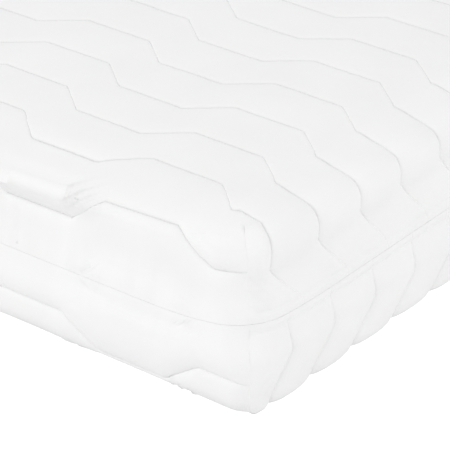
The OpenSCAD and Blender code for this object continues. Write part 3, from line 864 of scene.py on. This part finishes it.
def coil_mesh(name, level, way, shift):
    """Turns of a coil, each a bent bar with a head, along the edge of a tape."""
    place, away, ahead = round_path(COIL_INSET, TURN)
    gap = zip_parting(place)
    points, faces = [], []
    for at, n, t, open_here in zip(place, away, ahead, gap):
        if open_here:
            continue
        base = at + n * COIL_INSET + t * shift
        base[2] = level + zip_rise(base[0], base[1])
        first = len(points)
        for inset, rise, half in TOOTH:
            for step in (-half, half):
                points.append(base - n * inset + t * step + np.array([0, 0, way * rise]))
        for i in range(4):
            a = first + 2 * i
            faces.append([a, a + 1, a + 3, a + 2])
        faces.append([first + 8, first + 9, first + 1, first])
        faces += [[first, first + 2, first + 4, first + 6, first + 8],
                  [first + 9, first + 7, first + 5, first + 3, first + 1]]
    piece = new_piece(name, np.array(points), faces)
    face_outwards(piece)
    return piece


# Nylon 6.6 monofilament, extruded and heat-set: translucent white, smooth and half glossy.
nylon, tree, skin = new_material("white_nylon_monofilament_extruded")
where = add(tree, "ShaderNodeTexCoord").outputs["Object"]
drawn = add(tree, "ShaderNodeTexNoise", Vector=where, Scale=400.0, Detail=2.0)
tone = add(tree, "ShaderNodeValToRGB", Fac=drawn.outputs["Fac"])
tone.color_ramp.elements[0].color = linear("#e9e9e8")
tone.color_ramp.elements[1].color = linear("#f7f7f6")
bump = add(tree, "ShaderNodeBump", Strength=0.1, Distance=0.0001, Height=drawn.outputs["Fac"])
finish(skin, tone.outputs["Color"], bump.outputs["Normal"], Roughness=0.38, IOR=1.53)
# A round cord runs inside each coil. The two coils are half a turn apart, so that they can lock.
CORD_R = 0.95
CORD = [(CORD_R * math.cos(a), CORD_R * math.sin(a)) for a in np.arange(0, 2 * math.pi, math.pi / 4)]
for node, body, way, shift in (("lower_zip_coil", "lower_cover", 1, 0),
                               ("upper_zip_coil", "upper_cover", -1, TURN / 2)):
    level = ZIP_Z - 2 * way
    piece = coil_mesh(node + "_turns", level, way, shift)
    piece.data.materials.append(nylon)
    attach(piece, body)
    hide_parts(node)
    around = [(13.9 + a, level + 0.3 * way + b) for a, b in CORD]
    cord = band(node + "_filler_cord", around, 4, parted=True)
    cord.data.shade_smooth()
    cord.data.materials.append(tape)
    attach(cord, body)

# ---------------------------------------------------------------------------------------------
# Zip fittings: stops moulded in white acetal, and a slider, pull, end box and pin of lacquered
# zinc, clamped on the tapes near the head end. Their CAD shapes stay.
acetal, tree, skin = new_material("white_acetal_moulded")
where = add(tree, "ShaderNodeTexCoord").outputs["Object"]
grain = add(tree, "ShaderNodeTexNoise", Vector=where, Scale=700.0, Detail=3.0)
tone = add(tree, "ShaderNodeValToRGB", Fac=grain.outputs["Fac"])
tone.color_ramp.elements[0].color = linear("#e6e7e7")
tone.color_ramp.elements[1].color = linear("#f3f3f2")
bump = add(tree, "ShaderNodeBump", Strength=0.15, Distance=0.0001, Height=grain.outputs["Fac"])
finish(skin, tone.outputs["Color"], bump.outputs["Normal"], Roughness=0.42, IOR=1.48)
for node in ("lower_top_stop", "upper_top_stop"):
    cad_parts[node].data.materials.clear()
    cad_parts[node].data.materials.append(acetal)

# Zinc alloy, die cast, barrelled and lacquered white, so that the
# gloss is soft and edges show a little wear.
lacquer, tree, skin = new_material("white_lacquered_zinc_die_cast")
where = add(tree, "ShaderNodeTexCoord").outputs["Object"]
peel = add(tree, "ShaderNodeTexNoise", Vector=where, Scale=350.0, Detail=3.0)
edge = add(tree, "ShaderNodeNewGeometry").outputs["Pointiness"]
worn = add(tree, "ShaderNodeValToRGB", Fac=edge)
worn.color_ramp.elements[0].position, worn.color_ramp.elements[1].position = 0.5, 0.62
worn.color_ramp.elements[0].color = linear("#ececec")
worn.color_ramp.elements[1].color = linear("#c9cacc")
bump = add(tree, "ShaderNodeBump", Strength=0.12, Distance=0.0002, Height=peel.outputs["Fac"])
finish(skin, worn.outputs["Color"], bump.outputs["Normal"], Roughness=0.3, Coat_Weight=0.4,
       Coat_Roughness=0.2)
for node in ("zip_slider", "zip_pull", "zip_end_box", "zip_insertion_pin"):
    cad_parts[node].data.materials.clear()
    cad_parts[node].data.materials.append(lacquer)

# ---------------------------------------------------------------------------------------------
# Care label: a strip of woven satin, folded once and caught in the hem at the foot end, drawn here as
# one thin, slightly bowed sheet with its print left out.
(x0, x1), (y0, y1), (z0, z1) = span("care_label")
bpy.ops.object.select_all(action="DESELECT")
bpy.ops.mesh.primitive_grid_add(x_subdivisions=24, y_subdivisions=18, size=1)
label = bpy.context.object
label.name = label.data.name = "care_label_satin"
grid_at = np.array([p.co for p in label.data.vertices])
label_y = (y0 + y1) / 2 + grid_at[:, 0] * (y1 - y0)
label_z = (z0 + z1) / 2 + grid_at[:, 1] * (z1 - z0)
bow = 0.12 * np.sin(grid_at[:, 0] * 9) * (0.5 - grid_at[:, 1])
label_at = np.stack([(x0 + x1) / 2 + bow, label_y, label_z], -1) / 1000
label.data.vertices.foreach_set("co", label_at.ravel())
solid = label.modifiers.new("cloth", "SOLIDIFY")
solid.thickness, solid.offset = 0.0003, 0
bpy.ops.object.modifier_apply(modifier="cloth")
bpy.ops.object.shade_smooth_by_angle(angle=math.radians(50))

# Polyester satin, woven with long floats: white, smooth, with a band of sheen along the weft.
satin, tree, skin = new_material("white_polyester_satin_woven")
where = add(tree, "ShaderNodeTexCoord").outputs["Object"]
floats = add(tree, "ShaderNodeTexWave", {"bands_direction": "Z"}, Vector=where,
             Scale=2 * math.pi / 20 / 0.0008, Distortion=0.6, Detail=1.0)
tone = add(tree, "ShaderNodeValToRGB", Fac=floats.outputs["Fac"])
tone.color_ramp.elements[0].color = linear("#e9eaec")
tone.color_ramp.elements[1].color = linear("#f6f6f6")
bump = add(tree, "ShaderNodeBump", Strength=0.2, Distance=0.0001, Height=floats.outputs["Fac"])
finish(skin, tone.outputs["Color"], bump.outputs["Normal"], Roughness=0.35, Sheen_Weight=0.3)
label.data.materials.append(satin)
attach(label, "lower_cover")
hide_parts("care_label")

# ---------------------------------------------------------------------------------------------
# Stage: a floor of white paper that glows a little, so that no shadow shows under the mattress, a
# white room, and three large soft lights, as in a packshot studio.
bpy.ops.object.select_all(action="DESELECT")
bpy.ops.mesh.primitive_plane_add(size=60, location=(0, 0, 0))
floor = bpy.context.object
floor.name = "studio_floor"
paper, tree, skin = new_material("white_studio_paper")
where = add(tree, "ShaderNodeTexCoord").outputs["Object"]
fibre = add(tree, "ShaderNodeTexNoise", Vector=where, Scale=3.0)
tone = add(tree, "ShaderNodeValToRGB", Fac=fibre.outputs["Fac"])
tone.color_ramp.elements[0].color = linear("#b9b9b9")
tone.color_ramp.elements[1].color = linear("#c4c4c4")
finish(skin, tone.outputs["Color"], None, Roughness=1.0, Specular_IOR_Level=0.0,
       Emission_Color=(1, 1, 1, 1))
seen = add(tree, "ShaderNodeLightPath").outputs["Is Camera Ray"]
glow = add(tree, "ShaderNodeMix", {"data_type": "FLOAT"}, n0=seen, n2=0.31, n3=1.0)
tree.links.new(glow.outputs[0], skin.inputs["Emission Strength"])
floor.data.materials.append(paper)

room = bpy.data.worlds.new("white_room")
bpy.context.scene.world = room
room.use_nodes = True
tree = room.node_tree
ray = add(tree, "ShaderNodeLightPath")
shown = add(tree, "ShaderNodeMix", {"data_type": "FLOAT"}, n0=ray.outputs["Is Camera Ray"], n2=0.83, n3=1.1)
tree.nodes["Background"].inputs["Color"].default_value = (1, 1, 1, 1)
tree.links.new(shown.outputs[0], tree.nodes["Background"].inputs["Strength"])

for name, place, aim, size, watts in (
        ("key_softbox", (-3.0, -4.0, 3.5), (0.4, -0.1, 0.1), 3.1, 49.0),
        ("long_side_softbox", (0.4, -4.2, 2.2), (0.5, -0.3, 0.1), 3.2, 23.5),
        ("foot_end_softbox", (4.6, 0.8, 0.5), (0.6, 0.0, 0.1), 2.4, 30.5)):
    lamp = bpy.data.lights.new(name, "AREA")
    lamp.shape, lamp.size, lamp.energy = "DISK", size, watts
    holder = bpy.data.objects.new(name, lamp)
    bpy.context.collection.objects.link(holder)
    holder.location = place
    way = np.array(aim) - np.array(place)
    yaw, pitch = math.atan2(way[1], way[0]), math.atan2(math.hypot(way[0], way[1]), -way[2])
    holder.rotation_euler = (pitch, 0, yaw - math.pi / 2)

# Camera: a long lens beyond the foot end's near corner, looking down on it. From a camera that
# looks along +Y it is turned by yaw, tipped down by pitch and leaned by roll.
lens = bpy.data.cameras.new("camera")
lens.lens, lens.sensor_width, lens.clip_start, lens.clip_end = 223.9, 36, 0.05, 100
camera = bpy.data.objects.new("camera", lens)
bpy.context.collection.objects.link(camera)
yaw, pitch, roll = math.radians(37.284), math.radians(28.744), math.radians(0.621)
turned = (Matrix.Rotation(yaw, 4, "Z") @ Matrix.Rotation(math.pi / 2 - pitch, 4, "X")
          @ Matrix.Rotation(roll, 4, "Z"))
camera.matrix_world = Matrix.Translation((2.4391, -2.3891, 1.5587)) @ turned
bpy.context.scene.camera = camera
bpy.context.scene.view_settings.view_transform = "Standard"
bpy.context.scene.view_settings.look = "None"
